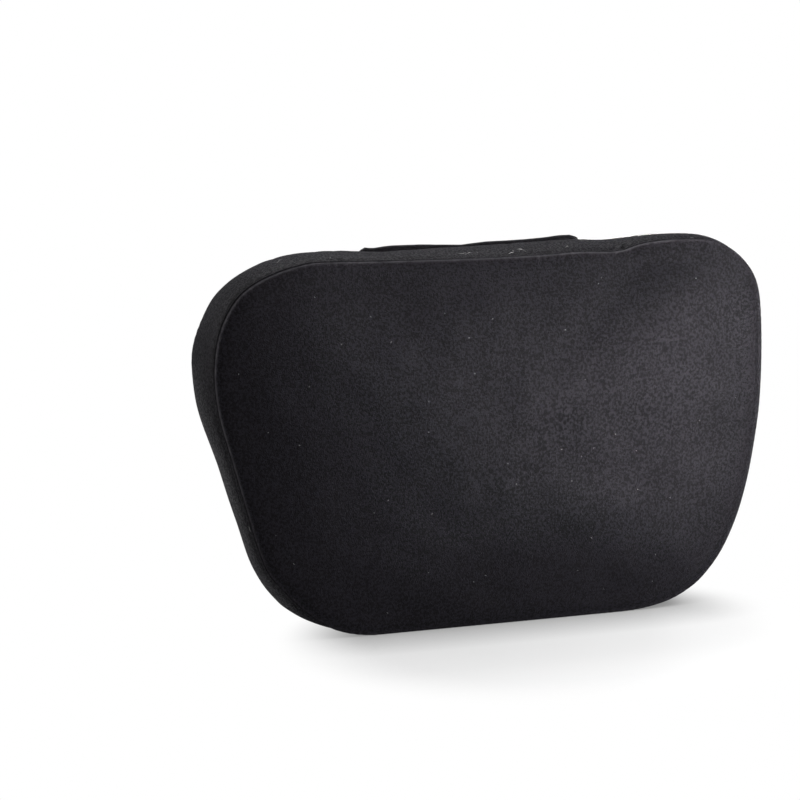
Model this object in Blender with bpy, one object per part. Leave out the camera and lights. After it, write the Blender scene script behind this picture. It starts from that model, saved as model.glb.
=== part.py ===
"""Car neck pillow: a stuffed box cushion with a hanging flap at its back.

Metres, +Z up. The pillow stands on its bottom edge with its front facing -Y, and the origin is
under the middle of its bounding box. An outline is a list of (x, z) points, seen from the front.
"""

from math import cos, pi, sin, sqrt

import bmesh
import bpy
from mathutils import Vector

# Outline of the two seams, as seen from the front
WIDTH = 0.400  # across the widest place
WIDEST_HEIGHT = 0.188
HEIGHT = 0.2595  # up to the crests of the shoulders
TOP_DIP = 0.004  # the top edge is this much lower at its middle
CREST_SPAN = 0.248  # between the crests of the two shoulders
SHOULDER_REACH = 0.030  # curve handle, out from the crest
SHOULDER_DROP = 0.070  # curve handle, up from the widest place
FLANK_DROP = 0.045  # curve handle, down from the widest place
FOOT_REACH = 0.062  # curve handle, out from the end of the seat
SEAT_LENGTH = 0.224  # the stretch that lies flat where the pillow stands

# Depth of the stuffed cushion
BAND_DEPTH = 0.060  # from seam to seam
BAND_BULGE = 0.004
BULGE_START = 0.050  # the band bulges in full from this height up, and not at all on the floor
FRONT_CROWN = 0.020
BACK_CROWN = 0.010
FRONT_FLAT_SHARE = 0.12  # the crown is level inside this share of the outline
BACK_FLAT_SHARE = 0.45
CROWN_FULLNESS = 2.4  # exponents of the crown's profile: how full it is,
CROWN_EDGE = 0.6  # and how steeply it leaves the seam

# Cover and filling
COVER_THICKNESS = 0.002  # suede on a thin foam backing
SEAM_GAP = 0.0003
FILL_GAP = 0.0005

# Flap, sewn into the back seam and folded down behind
FLAP_WIDTH = 0.160
FLAP_THICKNESS = 0.0024  # two layers of suede
FLAP_RISE = 0.0045  # how far its fold stands above the seam
FLAP_END_HEIGHT = 0.088
FLAP_CORNER = 0.012
FOLD_BLEND = 4  # power of the smooth maximum between the fold and the back

# Hook-and-loop strips that keep the flap's free end on the back
LAY_GAP = 0.0003
LOOP_SIZE = (0.140, 0.050)
LOOP_THICKNESS = 0.0012
LOOP_CENTRE_HEIGHT = 0.102
HOOK_SIZE = (0.130, 0.025)
HOOK_THICKNESS = 0.0012
HOOK_EDGE_MARGIN = 0.008  # from the flap's free end
STRIP_CORNER = 0.004

# Number of faces along each stretch
TOP_STEPS = 8
SHOULDER_STEPS = 9
FLANK_STEPS = 12
SEAT_STEPS = 5
PANEL_RINGS = 8
RING_CROWDING = 1.7  # above 1 the rings crowd towards the seam
BAND_STEPS = 4
FOLD_STEPS = 6
LEG_STEPS = 12
CORNER_STEPS = 4
FLAP_BAYS = 6

# Places that follow from the sizes above
MIDDLE_HEIGHT = HEIGHT / 2
STRIP_STACK = SEAM_GAP / 2 + 3 * LAY_GAP + LOOP_THICKNESS + HOOK_THICKNESS
FOLD_RADIUS = FLAP_RISE - SEAM_GAP - FLAP_THICKNESS / 2
FLAP_STAND = ((2 * FOLD_RADIUS) ** FOLD_BLEND + (BACK_CROWN + STRIP_STACK) ** FOLD_BLEND) ** (
    1 / FOLD_BLEND
)
DEPTH = FRONT_CROWN + SEAM_GAP / 2 + BAND_DEPTH + FLAP_STAND + FLAP_THICKNESS
FRONT_SEAM_Y = FRONT_CROWN + SEAM_GAP / 2 - DEPTH / 2
BACK_SEAM_Y = FRONT_SEAM_Y + BAND_DEPTH
BACK_FACE_Y = BACK_SEAM_Y + SEAM_GAP / 2 + BACK_CROWN

COLLECTION = "car_neck_pillow"
SUEDE = (0.020, 0.019, 0.021, 1.0)
FIBRE = (0.80, 0.80, 0.78, 1.0)
NYLON = (0.012, 0.012, 0.013, 1.0)


def clear_scene():
    for item in list(bpy.data.objects):
        bpy.data.objects.remove(item, do_unlink=True)


def material(name, colour, roughness):
    made = bpy.data.materials.new(name)
    made.use_nodes = True
    shader = made.node_tree.nodes["Principled BSDF"]
    shader.inputs["Base Color"].default_value = colour
    shader.inputs["Roughness"].default_value = roughness
    shader.inputs["Metallic"].default_value = 0.0
    return made


def bezier(start, handle_a, handle_b, end, steps):
    """Points along one cubic curve, from its start up to but not including its end."""
    points = []
    for i in range(steps):
        t = i / steps
        weights = ((1 - t) ** 3, 3 * (1 - t) ** 2 * t, 3 * (1 - t) * t**2, t**3)
        corners = (start, handle_a, handle_b, end)
        points.append(tuple(sum(w * c[k] for w, c in zip(weights, corners)) for k in (0, 1)))
    return points


def top_curve(steps):
    """Half of the top edge, from its lowest point at the middle to a shoulder's crest."""
    crest = CREST_SPAN / 2
    low = HEIGHT - TOP_DIP
    return bezier((0, low), (crest / 2, low), (crest / 2, HEIGHT), (crest, HEIGHT), steps)


def seam_outline():
    """The seam as one closed ring, clockwise from the middle of the top edge."""
    crest = CREST_SPAN / 2
    side = WIDTH / 2
    seat = SEAT_LENGTH / 2
    shoulder = bezier(
        (crest, HEIGHT),
        (crest + SHOULDER_REACH, HEIGHT),
        (side, WIDEST_HEIGHT + SHOULDER_DROP),
        (side, WIDEST_HEIGHT),
        SHOULDER_STEPS,
    )
    flank = bezier(
        (side, WIDEST_HEIGHT),
        (side, WIDEST_HEIGHT - FLANK_DROP),
        (seat + FOOT_REACH, 0),
        (seat, 0),
        FLANK_STEPS,
    )
    bottom = [(seat * (1 - i / SEAT_STEPS), 0) for i in range(SEAT_STEPS)]
    right = top_curve(TOP_STEPS) + shoulder + flank + bottom
    left = [(-x, z) for x, z in reversed(right[1:])]
    return right + [(0, 0)] + left


def offset(outline, distances, floor):
    """The outline with each point moved outward by its distance, and none below the floor."""
    moved = []
    for i, ((x, z), distance) in enumerate(zip(outline, distances)):
        before = Vector(outline[i - 1])
        after = Vector(outline[(i + 1) % len(outline)])
        along = (after - before).normalized()
        moved.append((x - along.y * distance, max(floor, z + along.x * distance)))
    return moved


def inset_outline(inset):
    """The seam's outline drawn in by an even margin."""
    outline = seam_outline()
    return offset(outline, [-inset] * len(outline), inset)


def shrink(outline, share):
    """The outline drawn in towards the middle of the pillow."""
    return [(x * share, MIDDLE_HEIGHT + (z - MIDDLE_HEIGHT) * share) for x, z in outline]


def ring(outline, y):
    return [(x, y, z) for x, z in outline]


def crown(share, height, flat_share):
    """How far a stuffed panel stands out from its seam, on the ring of this share."""
    reach = max(0.0, (share - flat_share) / (1 - flat_share))
    return height * (1 - reach**CROWN_FULLNESS) ** CROWN_EDGE


def panel_shares():
    """Shares of the outline from the seam inward. The last ring lies inside the level part."""
    last = FRONT_FLAT_SHARE * 0.9
    return [1 - (1 - last) * (i / PANEL_RINGS) ** RING_CROWDING for i in range(PANEL_RINGS + 1)]


def dish(outline, rim_y, height, flat_share):
    """Rings of one crowned surface, from the seam inward. A negative height crowns forward."""
    return [
        ring(shrink(outline, share), rim_y + crown(share, height, flat_share))
        for share in panel_shares()
    ]


def loft(name, rings, look, closed=False):
    """A solid through rings of equally many points, with flat ends unless it is closed."""
    mesh = bmesh.new()
    loops = [[mesh.verts.new(point) for point in points] for points in rings]
    pairs = list(zip(loops, loops[1:]))
    if closed:
        pairs.append((loops[-1], loops[0]))
    else:
        mesh.faces.new(loops[0])
        mesh.faces.new(loops[-1])
    for near, far in pairs:
        for i in range(len(near)):
            j = (i + 1) % len(near)
            mesh.faces.new((near[i], near[j], far[j], far[i]))
    bmesh.ops.recalc_face_normals(mesh, faces=mesh.faces)
    data = bpy.data.meshes.new(name)
    mesh.to_mesh(data)
    mesh.free()
    data.shade_smooth()
    data.set_sharp_from_angle(angle=pi / 5)
    data.materials.append(look)
    made = bpy.data.objects.new(name, data)
    bpy.data.collections[COLLECTION].objects.link(made)
    return made


def panel(name, rim_y, height, flat_share, look):
    """A crowned sheet of cover with a level rim. A negative height crowns forward."""
    thin = COVER_THICKNESS if height > 0 else -COVER_THICKNESS
    outside = dish(seam_outline(), rim_y, height, flat_share)
    inside = dish(inset_outline(COVER_THICKNESS), rim_y, height - thin, flat_share)
    return loft(name, outside[::-1] + inside, look)


def band_rings(y_start, y_end, inset):
    """Rings of the bulging band between two planes, set in from its outer face."""
    outline = seam_outline()
    rings = []
    for i in range(BAND_STEPS + 1):
        across = i / BAND_STEPS
        bulge = BAND_BULGE * (1 - (2 * across - 1) ** 2)
        reach = [bulge * min(1.0, z / BULGE_START) - inset for x, z in outline]
        rings.append(ring(offset(outline, reach, inset), y_start + across * (y_end - y_start)))
    return rings


def side_band(look):
    """The band that joins the two panels all round, flat where the pillow stands on it."""
    front = FRONT_SEAM_Y + SEAM_GAP / 2
    back = BACK_SEAM_Y - SEAM_GAP / 2
    outside = band_rings(front, back, 0.0)
    inside = band_rings(front, back, COVER_THICKNESS)
    return loft("side_band", outside + inside[::-1], look, closed=True)


def inner_cushion(look):
    """The filling, which takes up the whole inside of the cover."""
    inset = COVER_THICKNESS + FILL_GAP
    outline = inset_outline(inset)
    front = dish(outline, FRONT_SEAM_Y, inset - FRONT_CROWN, FRONT_FLAT_SHARE)
    back = dish(outline, BACK_SEAM_Y, BACK_CROWN - inset, BACK_FLAT_SHARE)
    between = band_rings(FRONT_SEAM_Y, BACK_SEAM_Y, inset)[1:-1]
    return loft("inner_cushion", front[::-1] + between + back, look)


def top_height(x):
    """Height of the top seam at a distance from the middle, read along its curve."""
    curve = top_curve(24 * TOP_STEPS)
    return min(curve, key=lambda point: abs(point[0] - abs(x)))[1]


def flap_end(x):
    """Height of the flap's free end, whose two corners are round."""
    past = max(0.0, abs(x) - (FLAP_WIDTH / 2 - FLAP_CORNER))
    return FLAP_END_HEIGHT + FLAP_CORNER - sqrt(FLAP_CORNER**2 - min(past, FLAP_CORNER) ** 2)


def flap_section(x):
    """The flap cut across at x: up from the seam, over its fold and down along the back."""
    base = top_height(x) + SEAM_GAP
    fold_y = BACK_SEAM_Y + FLAP_THICKNESS / 2 + FOLD_RADIUS
    inner, outer = [], []
    for i in range(FOLD_STEPS + 1):
        turn = pi * (1 - i / FOLD_STEPS)
        for side, radius in (
            (inner, FOLD_RADIUS - FLAP_THICKNESS / 2),
            (outer, FOLD_RADIUS + FLAP_THICKNESS / 2),
        ):
            side.append((x, fold_y + radius * cos(turn), base + radius * sin(turn)))
    for i in range(1, LEG_STEPS + 1):
        z = base + (flap_end(x) - base) * i / LEG_STEPS
        share = min(1.0, abs(z - MIDDLE_HEIGHT) / (base - MIDDLE_HEIGHT))
        stand = crown(share, BACK_CROWN, BACK_FLAT_SHARE) + STRIP_STACK
        stand = ((2 * FOLD_RADIUS) ** FOLD_BLEND + stand**FOLD_BLEND) ** (1 / FOLD_BLEND)
        inner.append((x, BACK_SEAM_Y + stand, z))
        outer.append((x, BACK_SEAM_Y + stand + FLAP_THICKNESS, z))
    return inner + outer[::-1]


def hanging_flap(look):
    """The wide double flap that goes over the headrest, here hanging down the back."""
    straight = FLAP_WIDTH / 2 - FLAP_CORNER
    corner = [straight + FLAP_CORNER * sin(pi / 2 * i / CORNER_STEPS) for i in range(CORNER_STEPS + 1)]
    bays = [straight * (2 * i / FLAP_BAYS - 1) for i in range(1, FLAP_BAYS)]
    stations = [-x for x in reversed(corner)] + bays + corner
    return loft("hanging_flap", [flap_section(x) for x in stations], look)


def strip(name, size, centre_height, near_y, thickness, look):
    """A flat strip with round corners, lying in a plane that faces backward."""
    half_width = size[0] / 2 - STRIP_CORNER
    half_height = size[1] / 2 - STRIP_CORNER
    outline = []
    for quarter, (right, up) in enumerate(((1, 1), (-1, 1), (-1, -1), (1, -1))):
        for i in range(CORNER_STEPS + 1):
            turn = pi / 2 * (quarter + i / CORNER_STEPS)
            x = right * half_width + STRIP_CORNER * cos(turn)
            z = centre_height + up * half_height + STRIP_CORNER * sin(turn)
            outline.append((x, z))
    return loft(name, [ring(outline, near_y), ring(outline, near_y + thickness)], look)


def main():
    clear_scene()
    bpy.context.scene.collection.children.link(bpy.data.collections.new(COLLECTION))
    suede = material("black_suede", SUEDE, 0.95)
    fibre = material("white_fibre", FIBRE, 1.0)
    nylon = material("black_nylon", NYLON, 0.8)
    panel("front_panel", FRONT_SEAM_Y - SEAM_GAP / 2, -FRONT_CROWN, FRONT_FLAT_SHARE, suede)
    panel("back_panel", BACK_SEAM_Y + SEAM_GAP / 2, BACK_CROWN, BACK_FLAT_SHARE, suede)
    side_band(suede)
    inner_cushion(fibre)
    hanging_flap(suede)
    loop_y = BACK_FACE_Y + LAY_GAP
    strip("loop_strip", LOOP_SIZE, LOOP_CENTRE_HEIGHT, loop_y, LOOP_THICKNESS, nylon)
    hook_y = loop_y + LOOP_THICKNESS + LAY_GAP
    hook_height = FLAP_END_HEIGHT + HOOK_EDGE_MARGIN + HOOK_SIZE[1] / 2
    strip("hook_strip", HOOK_SIZE, hook_height, hook_y, HOOK_THICKNESS, nylon)


main()
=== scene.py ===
import math

import bmesh
import bpy
import numpy as np
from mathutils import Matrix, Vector, noise
from mathutils.bvhtree import BVHTree
from mathutils.kdtree import KDTree


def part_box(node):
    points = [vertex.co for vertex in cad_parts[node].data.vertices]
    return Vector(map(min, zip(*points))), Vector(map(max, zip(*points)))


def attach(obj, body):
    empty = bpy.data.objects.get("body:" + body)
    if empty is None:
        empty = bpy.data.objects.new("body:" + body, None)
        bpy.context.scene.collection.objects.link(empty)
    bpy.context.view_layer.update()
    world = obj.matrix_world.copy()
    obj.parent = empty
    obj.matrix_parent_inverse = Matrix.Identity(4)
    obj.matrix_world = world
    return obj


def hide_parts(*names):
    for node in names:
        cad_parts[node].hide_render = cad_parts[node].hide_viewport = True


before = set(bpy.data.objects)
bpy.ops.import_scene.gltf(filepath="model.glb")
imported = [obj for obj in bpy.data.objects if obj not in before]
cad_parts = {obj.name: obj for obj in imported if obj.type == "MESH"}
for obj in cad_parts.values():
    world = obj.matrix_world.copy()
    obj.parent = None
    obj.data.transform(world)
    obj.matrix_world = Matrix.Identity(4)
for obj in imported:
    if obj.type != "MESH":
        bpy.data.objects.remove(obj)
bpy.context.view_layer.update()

# Everything is in metres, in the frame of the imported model: +Z up, the front facing -Y.
# An outline is an array of (x, z) rows, clockwise from the middle of the top edge.

MM = 0.001
SEED = 11

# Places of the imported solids
FRONT_LOW, FRONT_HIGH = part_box("front_panel")
BACK_LOW, BACK_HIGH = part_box("back_panel")
FLAP_LOW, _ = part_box("hanging_flap")
FRONT_SEAM_Y = FRONT_HIGH.y
BACK_SEAM_Y = BACK_LOW.y
FRONT_CROWN = FRONT_HIGH.y - FRONT_LOW.y
BACK_CROWN = BACK_HIGH.y - BACK_LOW.y
MIDDLE = np.array((0.0, FRONT_HIGH.z / 2))

# The two seams as (x, z) in millimetres. The filling pushes the two sides out a little unevenly.
SEAT = [(97, 0.3), (78, 0), (40, 0), (0, 0), (-40, 0), (-76, 0)]
FRONT_SEAM = [
    (0, 257.6), (34, 257.6), (62, 258.4), (80, 257.5), (94, 257.6), (104, 260.8), (116, 262.7),
    (130, 263.5), (147, 263.2), (162, 261.2), (174.5, 255.7), (185, 247.3), (193.6, 235.9),
    (197.9, 222.4), (199.4, 202.4), (199.6, 180.4), (198.9, 159.3), (197.2, 138.3), (193.2, 113.2),
    (187.6, 87.2), (179.2, 61.3), (167.2, 37.6), (153, 20.5), (141.5, 12), (128, 5.6), (112, 1.8),
    *SEAT, (-91, 0), (-104, 1.5), (-115.5, 4.5), (-126, 9.3), (-135, 15.5), (-143.8, 23.1),
    (-151.6, 31.2), (-158.5, 39.4), (-165, 47.2), (-169.4, 56.3), (-172.6, 66.3), (-175, 73.8),
    (-178.5, 87.4), (-182.2, 101.5), (-185.8, 115.6), (-189.4, 129.6), (-193.1, 143.5),
    (-196.5, 157.4), (-198.5, 171.2), (-199.4, 184.9), (-198.9, 195), (-196.2, 211.3),
    (-191.1, 224.8), (-183.2, 237.2), (-175.4, 244.4), (-164.6, 250.6), (-150.7, 255.8),
    (-137, 259.1), (-125.8, 260.4), (-109, 260), (-81, 259.1), (-53, 258.5), (-24, 257.8),
]
BACK_SEAM = [
    (0, 257.9), (30, 258.4), (60, 259.2), (80, 259.3), (92, 258), (104, 256.9), (120, 257.3),
    (135, 257.8), (150, 257.2), (163, 255.4), (174.5, 250.1), (184.5, 242.5), (192, 232.5),
    (196, 220.9), (197.6, 202.4), (197.4, 180.4), (196.4, 159.3), (194, 138.3), (190, 113.2),
    (184.2, 87.2), (175.6, 61.3), (164, 37.6), (150.5, 20.5), (140, 12.3), (127, 6), (112, 2),
    *SEAT, (-104, 0), (-119.5, 0.9), (-131, 4.8), (-140.2, 12.2), (-148.8, 22.3), (-157.3, 34.1),
    (-163.6, 48.6), (-168, 63.1), (-172.1, 77.7), (-176.9, 92), (-181.3, 106.6), (-185.3, 121.1),
    (-190.2, 135.5), (-195.3, 149.9), (-198.9, 163.9), (-200.8, 184.5), (-200, 198.2),
    (-195.6, 212.1), (-186, 230.6), (-177.2, 239.5), (-169.8, 245), (-159.6, 250.4),
    (-149.2, 254.4), (-135.4, 257.6), (-121.6, 258.9), (-107, 259.1), (-92, 258.8), (-80, 257.5),
    (-69, 256.6), (-54, 257), (-27, 257.5),
]

# Profiles across the cover
CALM_REACH = 14 * MM  # small kinks in a seam die out towards the panel's middle
CALM_START = 2.0  # from this many millimetres off the seam
CROWN_FULLNESS = 2.0  # exponents of a panel's profile: how full it is,
CROWN_EDGE = 0.68  # and how steeply it leaves the seam
BACK_FLAT_SHARE = 0.45  # the back is level inside this share of its outline
BAND_FULLNESS = 2.2  # the same exponents for the band
BAND_EDGE = 0.5
BAND_SET_IN = 0.95 * MM  # from each seam to the band's first row
ROLL_RADIUS = 1.3 * MM  # how the cover turns into a seam,
WIDE_ROLL = ((-0.172, 0.244), 0.060, 1.0 * MM)  # with a more open groove at the left shoulder
ROLL_END = math.radians(30)
ROLL_ROWS = 7
ROLL_SET_BACK = 0.2 * MM
SEAM_DEPTH = 0.8 * MM  # how much deeper the band starts than the panel's roll
GROOVE_REACH = 2.2 * MM  # painted shade beside the seam
GROOVE_LEAST = 0.25
EDGE_HIGHLIGHT_PLACE = 1.2 * MM  # and the painted highlight along a panel's edge
EDGE_HIGHLIGHT_SPREAD = 0.5 * MM
# The seam allowance inside a panel's edge: place, spread and height
WELT = (0.8 * MM, 0.7 * MM, 0.30 * MM)
BAND_BULGE = 4.0 * MM
BULGE_START = 0.020  # the band bulges in full from this height up
COVER_THICKNESS = 1.5 * MM
FILL_MARGIN = 6.0 * MM  # how far the filling stays inside the seams
FILL_DEPTH = 4.0 * MM  # and under the panels

# Settling of the cloth over its filling
SETTLE_AROUND = 240
VOXEL = 5.5 * MM
PRESSURE = 4.0
EASE = -0.001  # spare cloth, as a negative shrinkage
FRAMES = 20
CLOTH_MASS = 0.25
CLOTH_QUALITY = 6
STRETCH_STIFFNESS = 20
BEND_STIFFNESS = 8
PIN_REACH = 5.0 * MM  # cloth this near a seam is held,
FOOT_REACH = 2.0 * MM  # and so is what stands on the floor
SMOOTHING = 7  # passes over how far each point moved
SETTLE_CAP = 4.0 * MM
SETTLE_SHARES = {"front": 0.8, "back": 0.4, "band": 0.6}  # how much of it each piece takes up
NEIGHBOURS = 6

# Small unevenness of the sewn cloth
GATHER_HEIGHT = 0.12 * MM
GATHER_REACH = 3.5 * MM
GATHER_WAVES = (120, 290)  # fewest and most round the seam
LUMP_HEIGHT = 0.9 * MM
LUMP_SIZE = 0.055
LUMP_START = 0.03  # the lumps are there in full this far from a seam
CREASE_LEAST_Z = 0.24
# Where the back lies flat behind the tape: half width, lowest and highest place, and the run-out
TAPE_AREA = (0.095, 0.055, 0.155, 0.02)
# Creases in the top of the band: from (x, y), to (x, y), half width and depth, in millimetres
CREASES = [
    ((-110, 27), (-95, 2), 2.2, 1.3),
    ((-92, 31), (-66, 10), 2.6, 1.1),
    ((-106, -27), (-118, -14), 1.3, 0.8),
    ((-128, -27), (-134, -18), 1.2, 0.4),
    ((-58, 30), (-44, 14), 2.4, 0.7),
    ((36, 30), (22, 8), 2.6, 0.7),
    ((95, -27), (113, -12), 1.4, 0.7),
    ((88, -27), (96, -16), 1.2, 0.4),
    ((88, 31), (112, 20), 2.4, 1.0),
    ((134, 30), (124, 6), 2.6, 0.8),
    ((-150, 30), (-142, 8), 2.4, 0.7),
]

# Flap over the back
FLAP_SPAN = (-78.5 * MM, 85.5 * MM)
FLAP_THICKNESS = 2.2 * MM
FLAP_END = FLAP_LOW.z
FLAP_CORNER = 12.0 * MM
FLAP_STACK = 3.2 * MM  # the two tapes under the flap
FLAP_GAP = 0.3 * MM  # behind the back seam
FOLD_RADIUS = 2.4 * MM
FOLD_END = math.pi * 0.12
FOLD_BLEND = 4  # power of the smooth maximum between the fold and the back
RIPPLE = 0.5 * MM
EDGE_ROUND = 1.3 * MM
EDGE_LEAST = 0.05 * MM  # half of the flap's thickness at its very edge
PINCH = (0.38 * MM, 1.0 * MM)  # how deep and how wide the stitching pulls the flap in
PINCH_START = 14 * MM
STITCH_MARGIN = 4.0 * MM
STITCH_PITCH = 3.2 * MM
STITCH_LENGTH = 2.3 * MM
THREAD_RADIUS = 0.22 * MM
STRIP_MARGIN = 2.2 * MM  # from the loop strip's edge to its stitching,
STRIP_BEND = 6 * MM  # which turns round centres this far in from the corners
# Height of the fold along the top, as (x, z) in millimetres
FOLD_LINE = [
    (-79, 258.9), (-76, 261.1), (-73.4, 262.4), (-68.2, 261.6), (-60.4, 262.4), (-53.9, 262.8),
    (-34.4, 262.6), (-18, 261.7), (-2.6, 260.9), (5.6, 261.6), (16.1, 262.3), (32.4, 262.3),
    (45, 262.5), (59.2, 263.1), (71.4, 264.1), (79.8, 264), (84, 262.5), (86, 261.5),
]

# Thread ends as (x, y, z) in millimetres and how many, and specks of lint on the front
THREAD_ENDS = [
    (-165.7, -25, 250, 2), (-146, -10, 261, 1), (-114.3, -25, 261, 2), (-18, -22, 258, 3),
    (-13, -20, 259, 2), (17, -22, 258, 3), (24, -20, 259, 3), (60, -22, 259, 1), (150, -24, 263, 1),
    (-196, -24, 205, 1), (-176, -25, 78, 1),
]
LINT_COUNT = 45

# Suede. Each noise has a scale, a detail and a roughness
SUEDE_DARK = (0.0012, 0.0012, 0.0014)
SUEDE_LIGHT = (0.0066, 0.0062, 0.0080)
# Painted highlight along the panels' edges
SUEDE_EDGE_HIGHLIGHT = (0.034, 0.033, 0.036)
# Painted shade in the seams
SUEDE_SEAM_SHADE = (0.0005, 0.0005, 0.0005)
SUEDE_GLOSS = 0.098
SUEDE_GLOSS_TINT = (0.97, 0.90, 1.0)
SUEDE_SHEEN = 0.028
SUEDE_SHEEN_TINT = (0.80, 0.76, 1.0)
SUEDE_SHEEN_ROUGHNESS = 0.4
SUEDE_ROUGHNESS = (0.56, 0.32)  # of the dark and the light nap,
SEAM_SHADE_ROUGHNESS = 0.95  # and in the painted seam shade
SUEDE_HEIGHT = 0.35
CLOUDS = (20.0, 3.0, 0.5)
STROKES = (150.0, 4.0, 0.6)
FIBRES = (600.0, 1.0, 0.5)
FUZZ = (1400.0, 2.0, 0.7)
STROKE_SHARE = 0.35  # of the nap's slow tone,
FIBRE_SHARE = 0.80  # of its whole tone,
FUZZ_SHARE = 0.85  # and of its height
TONE_RANGE = (0.43, 0.57)
THREAD_GLOSS = 0.3
THREAD_HEIGHT = 0.05

# Mesh density
AROUND = 960
KNOT_STEPS = 24  # between two given points of a seam
NEAR_SEAM = (0.5, 0.8, 1.2, 1.8, 2.6, 3.6, 5.0, 7.0, 9.5, 12.5, 16.0)  # millimetres from the seam
INWARD_RINGS = 36
LINING_RINGS = 12
BAND_ROWS = 36
FILL_AROUND = 160
FILL_RINGS = 14
FLAP_NEAR_EDGE = (0.0, 0.12, 0.35, 0.7, 1.2, 2.0, 3.0, 3.6, 4.0, 4.4, 5.0, 6.2, 8.5)  # millimetres
FLAP_COLUMNS = 64  # between those of the two edges,
FLAP_COLUMN_START = 11.5 * MM  # from this far in
THREAD_SIDES = 6
THREAD_RINGS = 6
HAIR_SIDES = 4

# Light. Each lamp has a place, a size and a power
WORLD_LIGHT = 0.16
LIGHTS = [
    ("near", (0.58, -0.96, 0.22), (0.25, 0.25), 6.5),
    ("low", (0.66, -0.72, 0.07), (0.25, 0.12), 11),
    ("front", (0.40, -1.60, 1.30), (0.6, 0.6), 7),
    ("side", (0.75, -0.30, 0.70), (0.3, 0.3), 7),
    ("top", (0.0, 0.80, 1.50), (1.2, 0.6), 9),
    ("left", (-1.3, 0.80, 1.05), (0.8, 0.8), 7.5),
    ("back", (0.9, 1.5, 0.16), (0.6, 0.2), 30),
    ("low_left", (-1.5, 0.30, 0.25), (0.6, 0.3), 5),
]
FLOOR_COLOUR = 0.80  # as the camera sees it beside the object,
FLOOR_SHADE_REACH = 0.055  # with painted shade where it meets the object, over this distance,
FLOOR_BOUNCE = 0.3  # and in the light that it gives back
FLOOR_GLOW = 0.25  # share of the floor's brightness that no shadow takes away
FLOOR_SHIFT = (-0.02, 0.07, 0.0)
FLOOR_FADE = (0.12, 0.19)  # the shadow gives way to plain white over this distance
FLOOR_SIZE = 12
LAMP_AIM = (0, 0, 0.14)

# Camera, fitted to the photograph's seams and outline
CAMERA_AZIMUTH = math.radians(16.494)
CAMERA_ELEVATION = math.radians(8.509)
CAMERA_ROLL = math.radians(1.423)
CAMERA_DISTANCE = 1.7868
CAMERA_LENS = 114.08
CAMERA_SENSOR = 36
CAMERA_AIM = Vector((-0.0543, 0.0233, 0.1546))


def smooth_ring(points, count):
    """A closed smooth line through points, resampled to steps of equal length."""
    before, start = np.roll(points, 1, axis=0), points
    end, after = np.roll(points, -1, axis=0), np.roll(points, -2, axis=0)
    t = np.linspace(0, 1, KNOT_STEPS, endpoint=False)[:, None, None]
    fine = 0.5 * (
        2 * start
        + (end - before) * t
        + (2 * before - 5 * start + 4 * end - after) * t**2
        + (3 * start - before - 3 * end + after) * t**3
    )
    fine = fine.transpose(1, 0, 2).reshape(-1, 2)
    closed = np.vstack([fine, fine[:1]])
    along = np.concatenate([[0], np.cumsum(np.hypot(*np.diff(closed, axis=0).T))])
    wanted = np.linspace(0, along[-1], count, endpoint=False)
    ring = np.stack([np.interp(wanted, along, closed[:, k]) for k in (0, 1)], axis=1)
    reach = max(1, count // 240)
    ring = sum(np.roll(ring, k, axis=0) for k in range(-reach, reach + 1)) / (2 * reach + 1)
    ring[:, 1] = np.maximum(ring[:, 1], 0)
    return ring


def seams(count):
    """The front and back seams, with points of one index across from each other."""
    return [smooth_ring(np.array(points, float) * MM, count) for points in (FRONT_SEAM, BACK_SEAM)]


def outward(outline):
    """Unit normals that point out of a clockwise outline."""
    along = np.roll(outline, -1, axis=0) - np.roll(outline, 1, axis=0)
    along /= np.linalg.norm(along, axis=1)[:, None]
    return np.stack([-along[:, 1], along[:, 0]], axis=1)


def bell(value, centre, spread):
    """1 at the centre, and falling off smoothly over the spread."""
    return np.exp(-(((value - centre) / spread) ** 2))


def roll_radius(outline):
    """Radius of the panel's rolled edge at each point of a seam."""
    centre, spread, more = WIDE_ROLL
    return ROLL_RADIUS + more * bell(np.linalg.norm(outline - np.array(centre), axis=1), 0, spread)


def place(outline, y):
    """Rows of (x, y, z) from an outline and one y for all points or one for each."""
    return np.stack([outline[:, 0], np.broadcast_to(y, len(outline)), outline[:, 1]], axis=1)


def calmed(outline):
    """The outline with its small kinks smoothed out, for the panel inside its seam."""
    spacing = np.linalg.norm(np.roll(outline, -1, axis=0) - outline, axis=1).mean()
    most = int(2.5 * CALM_REACH / spacing)
    steps = np.arange(-most, most + 1)
    weights = bell(steps * spacing, 0, CALM_REACH)
    total = sum(np.roll(outline, step, axis=0) * weight for step, weight in zip(steps, weights))
    return total / weights.sum()


def crown(share, height, flat_share=0.0):
    """Height of a stuffed panel at a share of the way from its middle to its seam."""
    reach = np.clip((share - flat_share) / (1 - flat_share), 0, 1)
    return height * (1 - reach**CROWN_FULLNESS) ** CROWN_EDGE


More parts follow.
